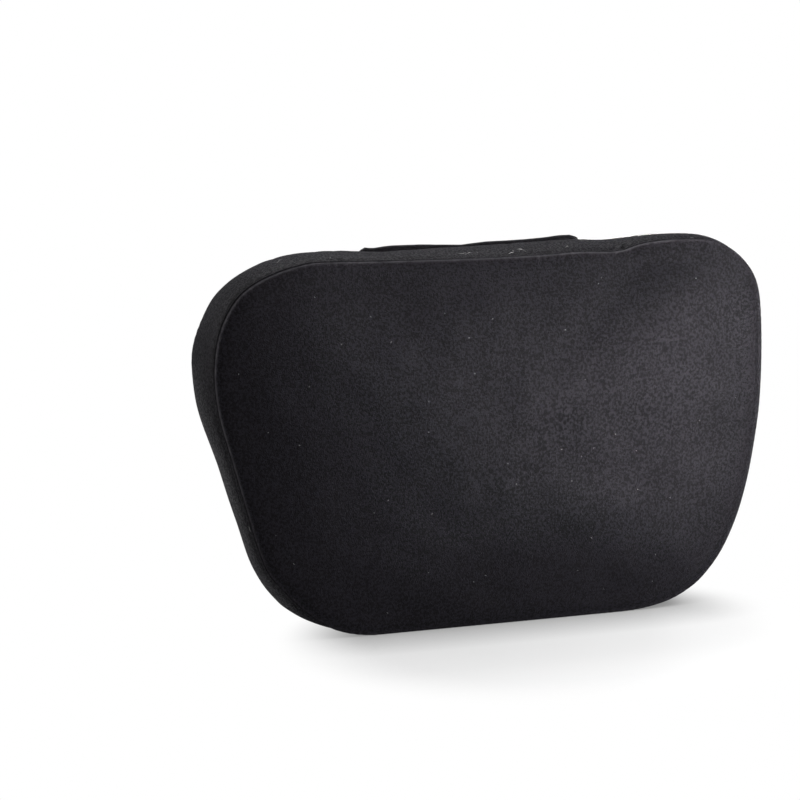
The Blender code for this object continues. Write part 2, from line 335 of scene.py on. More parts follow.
def panel_rows(outline, rim_y, facing, height, flat_share):
    """Rows of a stuffed panel from the bottom of its seam to its middle, and how far each is in.
    facing is -1 in front."""
    normals = outward(outline)
    roll = roll_radius(outline)
    calm = calmed(outline)
    rows, inset = [], []
    for turn in np.linspace(-math.pi / 2, ROLL_END, ROLL_ROWS):
        inner = outline - normals * (roll * (1 - math.cos(turn)))[:, None]
        rows.append(place(inner, rim_y + facing * (ROLL_SET_BACK + roll * math.sin(turn))))
        inset.append(0.0)
    lift = roll * math.sin(ROLL_END) * 0.5
    for distance in NEAR_SEAM:
        smooth = np.clip((distance - CALM_START) / (NEAR_SEAM[-1] - CALM_START), 0, 1)
        line = outline * (1 - smooth) + calm * smooth
        inner = line - outward(line) * (distance * MM + (roll - ROLL_RADIUS) * 0.3)[:, None]
        share = np.linalg.norm(inner - MIDDLE, axis=1) / np.linalg.norm(line - MIDDLE, axis=1)
        out = ROLL_SET_BACK + lift * math.exp(-distance / 2) + crown(share, height, flat_share)
        rows.append(place(inner, rim_y + facing * out))
        inset.append(distance * MM)
    start = rows[-1][:, (0, 2)]
    start_share = np.linalg.norm(start - MIDDLE, axis=1) / np.linalg.norm(calm - MIDDLE, axis=1)
    for i in range(1, INWARD_RINGS):
        shrink = 1 - i / INWARD_RINGS
        inner = MIDDLE + (start - MIDDLE) * shrink
        y = rim_y + facing * (ROLL_SET_BACK + crown(start_share * shrink, height, flat_share))
        rows.append(place(inner, y))
        inset.append(inset[-1] + 0.12 * (1 - shrink) + 2 * MM)
    return np.array(rows), np.array(inset)


def band_rows(front, back):
    """Rows of the band from the front seam to the back seam, and how far each is from a seam."""
    rows, inset = [], []
    depth = BACK_SEAM_Y - FRONT_SEAM_Y
    for step in np.linspace(0, 1, BAND_ROWS + 1):
        across = 0.5 - 0.5 * math.cos(math.pi * step)  # rows crowd at both seams
        outline = front * (1 - across) + back * across
        roll = roll_radius(outline) if across < 0.5 else ROLL_RADIUS
        swell = (1 - abs(2 * across - 1) ** BAND_FULLNESS) ** BAND_EDGE
        full = np.clip(outline[:, 1] / BULGE_START, 0, 1)
        out = swell * (BAND_BULGE * full + SEAM_DEPTH + roll) - SEAM_DEPTH - roll
        moved = outline + outward(outline) * out[:, None]
        moved[:, 1] = np.maximum(moved[:, 1], 0)
        y = FRONT_SEAM_Y + BAND_SET_IN + across * (depth - 2 * BAND_SET_IN)
        rows.append(place(moved, y))
        inset.append(min(across, 1 - across) * depth)
    return np.array(rows), np.array(inset)


def grid_normals(rows):
    """Unit normals of a grid of rings, all on the side away from the pillow's middle."""
    around = np.roll(rows, -1, axis=1) - np.roll(rows, 1, axis=1)
    across = np.gradient(rows, axis=0)
    normals = np.cross(around, across)
    normals /= np.maximum(np.linalg.norm(normals, axis=2), 1e-12)[:, :, None]
    middle = np.array((MIDDLE[0], (FRONT_SEAM_Y + BACK_SEAM_Y) / 2, MIDDLE[1]))
    if (normals * (rows - middle)).sum() < 0:
        normals = -normals
    return normals


def grid_mesh(name, rows, look, closed=False, flat=False):
    """A mesh through rings of points. Its two ends are drawn to a point unless it is closed or flat."""
    count, around = rows.shape[:2]
    points = rows.reshape(-1, 3).tolist()
    faces = []
    for r in range(count if closed else count - 1):
        near, far = r * around, (r + 1) % count * around
        for i in range(around):
            j = (i + 1) % around
            faces.append((near + i, near + j, far + j, far + i))
    if flat:
        for base in (0, (count - 1) * around):
            for i in range(around // 2 - 1):
                faces.append((base + i, base + i + 1, base + around - 2 - i, base + around - 1 - i))
    elif not closed:
        for ring, flip in ((0, True), (count - 1, False)):
            tip = len(points)
            points.append(rows[ring].mean(axis=0).tolist())
            base = ring * around
            for i in range(around):
                j = (i + 1) % around
                faces.append((base + j, base + i, tip) if flip else (base + i, base + j, tip))
    return mesh_piece(name, points, faces, look)


def mesh_piece(name, points, faces, look):
    """A smooth-shaded object with one material, its normals facing out."""
    data = bpy.data.meshes.new(name)
    data.from_pydata(points, [], faces)
    made = bmesh.new()
    made.from_mesh(data)
    bmesh.ops.recalc_face_normals(made, faces=made.faces)
    made.to_mesh(data)
    made.free()
    data.shade_smooth()
    data.materials.append(look)
    piece = bpy.data.objects.new(name, data)
    bpy.context.scene.collection.objects.link(piece)
    return piece


def vertex_array(mesh):
    """The mesh's points as rows."""
    flat = np.empty(len(mesh.vertices) * 3, np.float32)
    mesh.vertices.foreach_get("co", flat)
    return flat.reshape(-1, 3).astype(float)


def settle(look):
    """Lets the cloth settle over its filling, held at its seams and where it stands. Returns the
    points that it started from and how far each one moved."""
    front, back = seams(SETTLE_AROUND)
    front_rows = panel_rows(front, FRONT_SEAM_Y, -1, FRONT_CROWN, 0.0)[0][ROLL_ROWS - 1::2]
    back_rows = panel_rows(back, BACK_SEAM_Y, 1, BACK_CROWN, BACK_FLAT_SHARE)[0][ROLL_ROWS - 1::2]
    band = band_rows(front, back)[0][2:-2:2]
    form = grid_mesh("settling", np.concatenate([front_rows[::-1], band, back_rows]), look)
    remesh = form.modifiers.new("remesh", "REMESH")
    remesh.mode = "VOXEL"
    remesh.voxel_size = VOXEL
    bpy.context.view_layer.objects.active = form
    form.select_set(True)
    bpy.ops.object.modifier_apply(modifier=remesh.name)
    start = vertex_array(form.data)
    tree = KDTree(2 * len(front))
    for i, point in enumerate(np.concatenate([place(front, FRONT_SEAM_Y), place(back, BACK_SEAM_Y)])):
        tree.insert(point, i)
    tree.balance()
    held = [
        i for i, point in enumerate(start)
        if point[2] < FOOT_REACH or tree.find(point)[2] < PIN_REACH
    ]
    form.vertex_groups.new(name="held").add(held, 1.0, "REPLACE")
    cloth = form.modifiers.new("cloth", "CLOTH")
    settings = cloth.settings
    settings.quality = CLOTH_QUALITY
    settings.mass = CLOTH_MASS
    settings.tension_stiffness = settings.compression_stiffness = STRETCH_STIFFNESS
    settings.shear_stiffness = settings.bending_stiffness = BEND_STIFFNESS
    settings.use_pressure = True
    settings.uniform_pressure_force = PRESSURE
    settings.shrink_min = EASE
    settings.vertex_group_mass = "held"
    settings.effector_weights.gravity = 0
    cloth.collision_settings.use_collision = False
    cloth.point_cache.frame_start, cloth.point_cache.frame_end = 1, FRAMES
    scene = bpy.context.scene
    for step in range(1, FRAMES + 1):
        scene.frame_set(step)
    bpy.ops.object.modifier_apply(modifier=cloth.name)
    moved = vertex_array(form.data) - start
    a, b = np.array([tuple(edge.vertices) for edge in form.data.edges]).T
    for _ in range(SMOOTHING):
        total, count = moved.copy(), np.ones(len(moved))
        np.add.at(total, a, moved[b])
        np.add.at(total, b, moved[a])
        np.add.at(count, a, 1)
        np.add.at(count, b, 1)
        moved = total / count[:, None]
    scene.frame_set(1)
    bpy.data.objects.remove(form)
    size = np.maximum(np.linalg.norm(moved, axis=1), 1e-9)
    return start, moved * (SETTLE_CAP * np.tanh(size / SETTLE_CAP) / size)[:, None]


def follow(rows, settled, share):
    """Moves rows of the cover by a share of how the settled cloth beside them moved."""
    start, moved = settled
    tree = KDTree(len(start))
    for i, point in enumerate(start):
        tree.insert(point, i)
    tree.balance()
    flat = rows.reshape(-1, 3)
    near = np.empty((len(flat), NEIGHBOURS), int)
    away = np.empty((len(flat), NEIGHBOURS))
    for i, point in enumerate(flat):
        for k, (_, index, distance) in enumerate(tree.find_n(point, NEIGHBOURS)):
            near[i, k] = index
            away[i, k] = distance
    weight = 1 / (away + 1.5 * MM) ** 2
    step = (moved[near] * weight[:, :, None]).sum(axis=1) / weight.sum(axis=1)[:, None]
    return (flat + step * share).reshape(rows.shape)


def gathers(count):
    """An uneven wave round a seam, from the needle's pull on the cloth."""
    chance = np.random.RandomState(SEED)
    turn = np.linspace(0, 2 * math.pi, count, endpoint=False)
    wave = np.zeros(count)
    for waves in chance.randint(GATHER_WAVES[0], GATHER_WAVES[1], 14):
        wave += np.sin(waves * turn + chance.uniform(0, 2 * math.pi))
    strength = 1 + 0.5 * np.sin(5 * turn + 1) + 0.4 * np.sin(13 * turn + 4)
    return wave / 3.2 * np.clip(strength, 0.2, 2)


def lumps(points):
    """Slow unevenness of the filling under the cloth, from -1 to 1 at each point."""
    return np.array([
        noise.noise(Vector(p) / LUMP_SIZE) + 0.45 * noise.noise(Vector(p) / (LUMP_SIZE * 0.42))
        for p in points
    ])


def crease_depth(rows):
    """Depth of the creases in the top of the band, at each point."""
    depth = np.zeros(rows.shape[:2])
    flat = rows[:, :, (0, 1)]
    for start, end, width, deep in CREASES:
        start, end = np.array(start) * MM, np.array(end) * MM
        run = end - start
        share = np.clip(((flat - start) @ run) / (run @ run), 0, 1)
        gap = np.linalg.norm(flat - (start + share[:, :, None] * run), axis=2)
        fade = 1 - 0.7 * share
        width = width * MM
        depth += deep * MM * fade * (bell(gap, 0, width) - 0.45 * bell(gap, 2.2 * width, width))
    return depth * (rows[:, :, 2] > CREASE_LEAST_Z)


def under_flap(rows):
    """1 where the cover lies flat behind the tape, and 0 away from it."""
    x, y, z = rows[:, :, 0], rows[:, :, 1], rows[:, :, 2]
    half_width, lowest, highest, run_out = TAPE_AREA
    across = np.clip((half_width - abs(x)) / run_out, 0, 1)
    up = np.clip((highest - z) / run_out, 0, 1) * np.clip((z - lowest) / run_out, 0, 1)
    return across * up * (y > BACK_SEAM_Y)


def work_over(rows, inset, settled, settle_share, lump_height):
    """The settled rows with their gathers, creases and lumps."""
    base = rows
    if settled is not None:
        rows = follow(rows, settled, settle_share)
    calm = under_flap(base)[:, :, None]
    rows = rows * (1 - calm) + base * calm
    normals = grid_normals(rows)
    wave = gathers(rows.shape[1])[None, :] * np.exp(-inset / GATHER_REACH)[:, None] * GATHER_HEIGHT
    wave *= np.clip(inset / (1.0 * MM), 0.25, 1)[:, None]
    slow = lumps(rows.reshape(-1, 3)).reshape(rows.shape[:2])
    slow *= np.clip(inset / LUMP_START, 0, 1)[:, None] * lump_height
    at, spread, height = WELT
    welt = height * (bell(inset, at, spread) - 0.6 * bell(inset, at * 4, spread * 2))
    push = wave + slow + welt[:, None] - crease_depth(base)
    rows = rows + normals * (push * (1 - calm[:, :, 0]))[:, :, None]
    rows[:, :, 2] = np.maximum(rows[:, :, 2], 0)
    return rows


def lining_rows(rows, facing):
    """The inner face of a panel: some of its rows again, set in by the cover's thickness."""
    picked = rows[np.linspace(8, len(rows) - 1, LINING_RINGS).astype(int)].copy()
    middle = np.array((MIDDLE[0], 0, MIDDLE[1]))
    radius = np.linalg.norm((picked - middle)[:, :, (0, 2)], axis=2)[:, :, None]
    inward = ((middle - picked) / np.maximum(radius, 1e-6))[:, :, (0, 2)]
    picked[:, :, (0, 2)] += inward * np.minimum(COVER_THICKNESS, radius * 0.2)
    picked[:, :, 1] -= facing * COVER_THICKNESS
    return picked


def shade_edges(piece, rows, inset, outline, reach, edge_highlight):
    """Marks the painted shade beside a seam, most at the left shoulder, and the painted highlight along
    a panel's edge.
    """
    centre, spread, _ = WIDE_ROLL
    along = bell(np.linalg.norm(outline - np.array(centre), axis=1), 0, spread)
    # Strength of the painted shade beside the seam, most at the left shoulder
    seam_shade_strength = GROOVE_LEAST + (1 - GROOVE_LEAST) * along
    uneven = np.array([noise.noise(Vector((x * 160, 0.0, z * 160))) for x, z in outline])
    uneven = 0.75 + 0.5 * uneven
    shown = np.clip((outline[:, 1] - 0.03) / 0.12, 0, 1)  # little near the floor and at the right
    shown *= np.clip((0.17 - outline[:, 0]) / 0.06, 0.2, 1)
    marks = {
        # painted shade in the seam
        "seam_shade": bell(inset, 0, reach)[:, None] * seam_shade_strength * uneven,
        # painted highlight along the panel's edge
        "edge_highlight": bell(inset, EDGE_HIGHLIGHT_PLACE, EDGE_HIGHLIGHT_SPREAD)[:, None] * uneven * shown * edge_highlight,
    }
    for name, shade in marks.items():
        values = np.zeros(len(piece.data.vertices))
        values[: rows * len(outline)] = np.clip(shade, 0, 1).ravel()
        piece.data.attributes.new(name, "FLOAT", "POINT").data.foreach_set("value", values)


def make_cover(look, settled):
    """The front and back panels, each with its lining, and the band between them."""
    front_seam, back_seam = seams(AROUND)
    made = []
    for side, outline, rim_y, facing, height, flat_share in (
        ("front", front_seam, FRONT_SEAM_Y, -1, FRONT_CROWN, 0.0),
        ("back", back_seam, BACK_SEAM_Y, 1, BACK_CROWN, BACK_FLAT_SHARE),
    ):
        name, node = f"cover_{side}", f"{side}_panel"
        rows, inset = panel_rows(outline, rim_y, facing, height, flat_share)
        rows = work_over(rows, inset, settled, SETTLE_SHARES[side], LUMP_HEIGHT)
        piece = grid_mesh(name, np.concatenate([rows[::-1], lining_rows(rows, facing)]), look)
        shade_edges(piece, len(rows), inset[::-1], outline, 0.6 * MM, 1.0)
        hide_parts(node)
        made.append(piece)
    outer, inset = band_rows(front_seam, back_seam)
    outer = work_over(outer, inset, settled, SETTLE_SHARES["band"], LUMP_HEIGHT * 0.7)
    inner = outer[::3].copy()
    away = inner - np.array((MIDDLE[0], 0, MIDDLE[1]))
    away[:, :, 1] = 0
    away /= np.linalg.norm(away, axis=2)[:, :, None]
    inner -= away * COVER_THICKNESS
    band = grid_mesh("cover_band", np.concatenate([outer, inner[::-1]]), look, closed=True)
    shade_edges(band, len(outer), inset, front_seam, GROOVE_REACH, 0.0)
    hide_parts("side_band")
    made.append(band)
    for piece in made:
        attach(piece, "root")
    return made


def make_filling(covers, look):
    """The stuffing, a little inside the cover all round."""
    graph = bpy.context.evaluated_depsgraph_get()
    trees = [BVHTree.FromObject(cover, graph) for cover in covers[:2]]
    rows = []
    for tree, outline, rim_y, facing, height, flat_share in zip(
        trees,
        seams(FILL_AROUND),
        (FRONT_SEAM_Y, BACK_SEAM_Y),
        (-1, 1),
        (FRONT_CROWN, BACK_CROWN),
        (0.0, BACK_FLAT_SHARE),
    ):
        outline = outline - outward(outline) * FILL_MARGIN
        side = []
        for share in np.linspace(1, 0.04, FILL_RINGS):
            inner = MIDDLE + (outline - MIDDLE) * share
            ring = place(inner, rim_y + facing * crown(share, height - FILL_DEPTH, flat_share))
            for point in ring:
                hit = tree.ray_cast(Vector((point[0], facing * 0.2, point[2])), Vector((0, -facing, 0)))
                if hit[0] is not None:
                    point[1] = facing * min(facing * point[1], facing * hit[0].y - FILL_DEPTH)
            side.append(ring)
        rows.append(side)
    piece = grid_mesh("filling", np.array(rows[0][::-1] + rows[1]), look)
    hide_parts("inner_cushion")
    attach(piece, "root")


def back_height(x, outline):
    """Height of the back seam's top at x."""
    top = outline[outline[:, 1] > 0.2]
    top = top[np.argsort(top[:, 0])]
    return np.interp(x, top[:, 0], top[:, 1])


def flap_path(x, seam_height):
    """The middle of the flap's cloth at x, as (y, z) rows: up from the seam, over and down."""
    top = np.interp(x / MM, *np.array(FOLD_LINE).T) * MM - FLAP_THICKNESS / 2
    foot_y = BACK_SEAM_Y + FLAP_THICKNESS / 2 + FLAP_GAP
    radius = FOLD_RADIUS
    turn = np.linspace(math.pi, FOLD_END, 14)
    arc = np.stack([foot_y + radius + radius * np.cos(turn), top - radius + radius * np.sin(turn)], 1)
    below = max(top - radius - seam_height, 0.6 * MM)
    rise_z = np.linspace(top - radius - below, top - radius, 4, endpoint=False)
    rise = np.stack([np.full(4, foot_y), rise_z], 1)
    z = np.linspace(arc[-1, 1], FLAP_END, 130)[1:]
    share = np.clip(abs(z - MIDDLE[1]) / (seam_height - MIDDLE[1]), 0, 1)
    stand = crown(share, BACK_CROWN, BACK_FLAT_SHARE) + FLAP_STACK
    fold = arc[-1, 0] - BACK_SEAM_Y
    stand = (fold**FOLD_BLEND + (stand + FLAP_THICKNESS / 2) ** FOLD_BLEND) ** (1 / FOLD_BLEND)
    ripple = RIPPLE * math.sin(x / 0.021 + 1)
    ripple = ripple * np.clip((z - 0.14) / 0.05, 0, 1) * np.clip((0.25 - z) / 0.03, 0, 1)
    leg = np.stack([BACK_SEAM_Y + stand + ripple, z], 1)
    return np.vstack([rise, arc, leg])


def resample(path, wanted):
    """The points at the wanted lengths along a path, and its whole length."""
    along = np.concatenate([[0], np.cumsum(np.hypot(*np.diff(path, axis=0).T))])
    return np.stack([np.interp(wanted, along, path[:, k]) for k in (0, 1)], 1), along[-1]


def make_flap(look, thread):
    """The wide double flap, sewn into the back seam and folded down behind."""
    outline = seams(AROUND)[1]
    left, right = FLAP_SPAN
    edge = np.array(FLAP_NEAR_EDGE) * MM
    columns = np.concatenate([
        left + edge,
        np.linspace(left + FLAP_COLUMN_START, right - FLAP_COLUMN_START, FLAP_COLUMNS),
        right - edge[::-1],
    ])
    paths = [flap_path(x, back_height(x, outline)) for x in columns]
    full = min(resample(path, np.array([0.0]))[1] for path in paths)
    past = np.maximum(0, np.maximum(left + FLAP_CORNER - columns, columns - right + FLAP_CORNER))
    cut = FLAP_CORNER - np.sqrt(np.maximum(FLAP_CORNER**2 - np.minimum(past, FLAP_CORNER) ** 2, 0))
    shares = np.concatenate([
        np.linspace(0, 0.13, 22, endpoint=False),
        np.linspace(0.13, 0.95, 60, endpoint=False),
        1 - np.linspace(math.sqrt(0.05), 0, 22) ** 2,
    ])
    centre = np.empty((len(columns), len(shares), 3))
    flat = np.empty((len(columns), len(shares), 2))
    for i, (x, path) in enumerate(zip(columns, paths)):
        wanted = shares * (full - cut[i])
        line, _ = resample(path, wanted)
        centre[i, :, 0] = x
        centre[i, :, 1:] = line
        flat[i, :, 0] = x
        flat[i, :, 1] = wanted
    margin = np.minimum(flat[:, :, 0] - left, right - flat[:, :, 0])
    corner_x = np.maximum(0, FLAP_CORNER - margin)
    corner_s = np.maximum(0, flat[:, :, 1] - (full - FLAP_CORNER))
    rounded = FLAP_CORNER - np.hypot(corner_x, corner_s)
    straight = np.minimum(margin, full - flat[:, :, 1])
    margin = np.where((corner_x > 0) & (corner_s > 0), rounded, straight)
    margin = np.maximum(margin, 0)
    down = np.gradient(centre, axis=1)
    normal = np.stack([np.zeros_like(margin), down[:, :, 2], -down[:, :, 1]], axis=2)
    normal /= np.linalg.norm(normal, axis=2)[:, :, None]
    round_off = np.sqrt(np.clip(1 - (1 - np.clip(margin / EDGE_ROUND, 0, 1)) ** 2, 0, 1))
    pinch = PINCH[0] * bell(margin, STITCH_MARGIN, PINCH[1]) * (flat[:, :, 1] > PINCH_START)
    half = np.maximum(FLAP_THICKNESS / 2 * round_off - pinch, EDGE_LEAST)[:, :, None]
    outer, inner = centre - normal * half, centre + normal * half
    rings = np.concatenate([outer, inner[:, ::-1]], axis=1)
    flap = grid_mesh("flap", rings, look, flat=True)
    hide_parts("hanging_flap")
    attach(flap, "root")
    # The stitching runs down one side, round the two corners and up the other side
    tree = BVHTree.FromObject(flap, bpy.context.evaluated_depsgraph_get())
    route = []
    bend = FLAP_CORNER - STITCH_MARGIN
    for s in np.linspace(16 * MM, full - FLAP_CORNER, 60):
        route.append((left + STITCH_MARGIN, s))
    for turn in np.linspace(0, math.pi / 2, 10)[1:]:
        x = left + FLAP_CORNER - bend * math.cos(turn)
        route.append((x, full - FLAP_CORNER + bend * math.sin(turn)))
    route += [(left + right - x, s) for x, s in reversed(route)]
    ends = []
    for x, s in route:
        near = int(np.argmin(abs(columns - x)))
        point = resample(paths[near], np.array([s]))[0][0]
        ends.append((x, *point))
    line = []
    for point in ends:
        hit = tree.find_nearest(Vector((point[0], point[1] + 3 * MM, point[2])))
        line.append(np.array(hit[0] + hit[1] * THREAD_RADIUS * 0.2))
    stitches("flap_stitching", np.array(line), thread)
    # The loop strip is sewn down all round
    low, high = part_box("loop_strip")
    reach = STRIP_BEND - STRIP_MARGIN
    corners = []
    for x, z, first in ((high.x, high.z, 0), (high.x, low.z, 1), (low.x, low.z, 2), (low.x, high.z, 3)):
        middle_x = x - math.copysign(STRIP_BEND, x)
        middle_z = z - math.copysign(STRIP_BEND, z - (low.z + high.z) / 2)
        for turn in np.linspace(0, math.pi / 2, 6):
            angle = math.pi / 2 * (1 - first) - turn
            across, up = reach * math.cos(angle), reach * math.sin(angle)
            corners.append((middle_x + across, high.y, middle_z + up))
    stitches("strip_stitching", np.array(corners + corners[:1]), thread)


def tube_faces(base, rings, sides):
    """Faces of a closed tube whose rings of points start at base."""
    faces = []
    for k in range(rings - 1):
        for i in range(sides):
            j = (i + 1) % sides
            near, far = base + sides * k, base + sides * (k + 1)
            faces.append((near + i, near + j, far + j, far + i))
    faces.append(tuple(base + i for i in range(sides)))
    faces.append(tuple(base + sides * (rings - 1) + i for i in reversed(range(sides))))
    return faces


def stitches(name, line, look):
    """Short rounded stitches laid along a line."""
    along = np.concatenate([[0], np.cumsum(np.linalg.norm(np.diff(line, axis=0), axis=1))])
    points, faces = [], []
    for start in np.arange(STITCH_PITCH / 2, along[-1] - STITCH_LENGTH, STITCH_PITCH):
        ends = np.linspace(start, start + STITCH_LENGTH, THREAD_RINGS)
        spine = np.stack([np.interp(ends, along, line[:, k]) for k in range(3)], 1)
        run = spine[-1] - spine[0]
        run /= np.linalg.norm(run)
        side = np.cross(run, (0, 1, 0))
        side /= np.linalg.norm(side)
        lift = np.cross(side, run)
        base = len(points)
        for k, centre in enumerate(spine):
            radius = THREAD_RADIUS * math.sin(math.pi * (k + 0.35) / 5.7) ** 0.5  # thin at its ends
            for turn in np.linspace(0, 2 * math.pi, THREAD_SIDES, endpoint=False):
                out = side * math.cos(turn) + lift * math.sin(turn)
                points.append((centre + out * radius).tolist())
        faces += tube_faces(base, THREAD_RINGS, THREAD_SIDES)
    piece = mesh_piece(name, points, faces, look)
    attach(piece, "root")


def node_tree(name):
    """A new material with its nodes, links and shader."""
    made = bpy.data.materials.new(name)
    made.use_nodes = True
    nodes, links = made.node_tree.nodes, made.node_tree.links
    return made, nodes, links, nodes["Principled BSDF"]


def make_lint(covers, look):
    """Thread ends at the seams and a few specks of lint on the nap."""
    chance = np.random.RandomState(SEED)
    front, _, band = covers
    graph = bpy.context.evaluated_depsgraph_get()
    panel_tree = BVHTree.FromObject(front, graph)
    band_tree = BVHTree.FromObject(band, graph)
    points, faces = [], []

    def hair(tree, start, run, length, radius, lift):
        """A thin curved hair on the cover, from start along run."""
        run = np.array(run, float)
        run /= np.linalg.norm(run)
        bend = chance.uniform(-0.5, 0.5, 3) * length
        base = len(points)
        for t in np.linspace(0, 1, THREAD_RINGS):
            at = np.array(start) + run * length * t + bend * t * (1 - t)
            hit = tree.find_nearest(Vector(at))
            normal = np.array(hit[1])
            rise = radius + lift * math.sin(math.pi * min(t * 1.4, 1))
            centre = np.array(hit[0]) + normal * rise
            side = np.cross(run, normal)
            side /= np.linalg.norm(side)
            thin = radius * (1 - 0.6 * abs(2 * t - 1) ** 3)
            for a, b in ((1, 0), (0, 1), (-1, 0), (0, -1)):
                points.append((centre + (side * a + normal * b) * thin).tolist())
        faces.extend(tube_faces(base, THREAD_RINGS, HAIR_SIDES))

    for x, y, z, count in THREAD_ENDS:
        for _ in range(count):
            start = (np.array((x, y, z)) + chance.uniform(-2.5, 2.5, 3)) * MM
            run = (chance.uniform(-1, 1), chance.uniform(-0.3, 0.3), chance.uniform(-0.2, 0.9))
            hair(band_tree, start, run, chance.uniform(3, 6.5) * MM, 0.2 * MM, 0.5 * MM)
    made = 0
    while made < LINT_COUNT:
        x, z = chance.uniform(-0.19, 0.19), chance.uniform(0.01, 0.25)
        hit = panel_tree.ray_cast(Vector((x, -0.2, z)), Vector((0, 1, 0)), 0.2)
        if hit[0] is None:
            continue
        run = (chance.uniform(-1, 1), 0, chance.uniform(-1, 1))
        length, radius = chance.uniform(0.4, 1.1) * MM, chance.uniform(0.09, 0.15) * MM
        hair(panel_tree, hit[0], run, length, radius, 0.0)
        made += 1
    piece = mesh_piece("lint", points, faces, look)
    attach(piece, "root")


def noise_texture(nodes, links, where, scale, detail, roughness=0.5):
    """The value of a noise at the places given."""
    texture = nodes.new("ShaderNodeTexNoise")
    texture.inputs["Scale"].default_value = scale
    texture.inputs["Detail"].default_value = detail
    texture.inputs["Roughness"].default_value = roughness
    links.new(where, texture.inputs["Vector"])
    return texture.outputs["Fac"]


def blend_values(nodes, links, first, second, share):
    """first and second mixed, with this share of the second."""
    mix = nodes.new("ShaderNodeMix")
    mix.inputs["Factor"].default_value = share
    links.new(first, mix.inputs["A"])
    links.new(second, mix.inputs["B"])
    return mix.outputs["Result"]


def two_tones(nodes, links, value, colours, places=(0.0, 1.0)):
    """A colour that runs from one to the other of two as the value goes up."""
    ramp = nodes.new("ShaderNodeValToRGB")
    for element, colour, at in zip(ramp.color_ramp.elements, colours, places):
        element.position = at
        element.color = (*colour, 1.0)
    links.new(value, ramp.inputs["Fac"])
    return ramp.outputs["Color"]


def marked(nodes, links, mark, below, colour):
    """The colour below, going over to another where the mesh carries this mark. With the mark."""
    attribute = nodes.new("ShaderNodeAttribute")
    attribute.attribute_name = mark
    mix = nodes.new("ShaderNodeMix")
    mix.data_type = "RGBA"
    links.new(attribute.outputs["Fac"], mix.inputs["Factor"])
    links.new(below, mix.inputs["A"])
    mix.inputs["B"].default_value = (*colour, 1.0)
    return mix.outputs["Result"], attribute.outputs["Fac"]


def suede(name, gloss=SUEDE_GLOSS, fibre_height=SUEDE_HEIGHT):
    """Black suede: a mottled nap over fine fibres that lie a little every way."""
    made, nodes, links, shader = node_tree(name)
    shader.inputs["Specular IOR Level"].default_value = gloss
    shader.inputs["Specular Tint"].default_value = (*SUEDE_GLOSS_TINT, 1.0)
    shader.inputs["Sheen Weight"].default_value = SUEDE_SHEEN
    shader.inputs["Sheen Roughness"].default_value = SUEDE_SHEEN_ROUGHNESS
    shader.inputs["Sheen Tint"].default_value = (*SUEDE_SHEEN_TINT, 1.0)
    where = nodes.new("ShaderNodeTexCoord").outputs["Object"]
    clouds, strokes, fibres, fuzz = (
        noise_texture(nodes, links, where, *kind) for kind in (CLOUDS, STROKES, FIBRES, FUZZ)
    )
    nap = blend_values(nodes, links, clouds, strokes, STROKE_SHARE)
    tone = blend_values(nodes, links, nap, fibres, FIBRE_SHARE)
    base = two_tones(nodes, links, tone, (SUEDE_DARK, SUEDE_LIGHT), TONE_RANGE)
    # Painted shade in the seams: near black, with a rougher nap
    darker, seam_shade = marked(nodes, links, "seam_shade", base, SUEDE_SEAM_SHADE)
    # Painted highlight along the panels' edges
    with_highlight, _ = marked(nodes, links, "edge_highlight", darker, SUEDE_EDGE_HIGHLIGHT)
    links.new(with_highlight, shader.inputs["Base Color"])
    rough = nodes.new("ShaderNodeMapRange")
    rough.inputs["From Min"].default_value, rough.inputs["From Max"].default_value = TONE_RANGE
    rough.inputs["To Min"].default_value, rough.inputs["To Max"].default_value = SUEDE_ROUGHNESS
    links.new(tone, rough.inputs["Value"])
    flat = nodes.new("ShaderNodeMix")
    links.new(seam_shade, flat.inputs["Factor"])
    links.new(rough.outputs["Result"], flat.inputs["A"])
    flat.inputs["B"].default_value = SEAM_SHADE_ROUGHNESS
    links.new(flat.outputs["Result"], shader.inputs["Roughness"])
    height = blend_values(nodes, links, strokes, fuzz, FUZZ_SHARE)
    bump = nodes.new("ShaderNodeBump")
    bump.inputs["Strength"].default_value = 1.0
    bump.inputs["Distance"].default_value = fibre_height * MM
    links.new(height, bump.inputs["Height"])
    links.new(bump.outputs["Normal"], shader.inputs["Normal"])
    return made


def plain(name, colour, roughness):
    """A matt fibre, a little uneven in its colour."""
    made, nodes, links, shader = node_tree(name)
    shader.inputs["Roughness"].default_value = roughness
    where = nodes.new("ShaderNodeTexCoord").outputs["Object"]
    tone = noise_texture(nodes, links, where, 300.0, 2.0)
    tones = np.outer((0.6, 1.4), colour).tolist()
    links.new(two_tones(nodes, links, tone, tones), shader.inputs["Base Color"])
    return made


def tape(name, colour, scale, height):
    """Nylon touch tape: a dense field of tiny loops or hooks in rows."""
    made, nodes, links, shader = node_tree(name)
    shader.inputs["Roughness"].default_value = 0.7
    shader.inputs["Specular IOR Level"].default_value = 0.15
    where = nodes.new("ShaderNodeTexCoord").outputs["Object"]
    cells = nodes.new("ShaderNodeTexVoronoi")
    cells.inputs["Scale"].default_value = scale
    links.new(where, cells.inputs["Vector"])
    tones = np.outer((1.6, 0.5), colour).tolist()
    base = two_tones(nodes, links, cells.outputs["Distance"], tones, (0.0, 0.7))
    links.new(base, shader.inputs["Base Color"])
    bump = nodes.new("ShaderNodeBump")
    bump.inputs["Distance"].default_value = height
    bump.invert = True
    links.new(cells.outputs["Distance"], bump.inputs["Height"])
    links.new(bump.outputs["Normal"], shader.inputs["Normal"])
    return made


def area_light(name, spot, size, power):
    """A soft lamp that the camera doesn't see."""
    data = bpy.data.lights.new(name, "AREA")
    data.shape = "RECTANGLE"
    data.size, data.size_y = size
    data.energy = power
    lamp = bpy.data.objects.new(name, data)
    lamp.location = spot
    lamp.visible_camera = False
    lamp.rotation_euler = (Vector(LAMP_AIM) - Vector(spot)).to_track_quat("-Z", "Y").to_euler()
    bpy.context.scene.collection.objects.link(lamp)


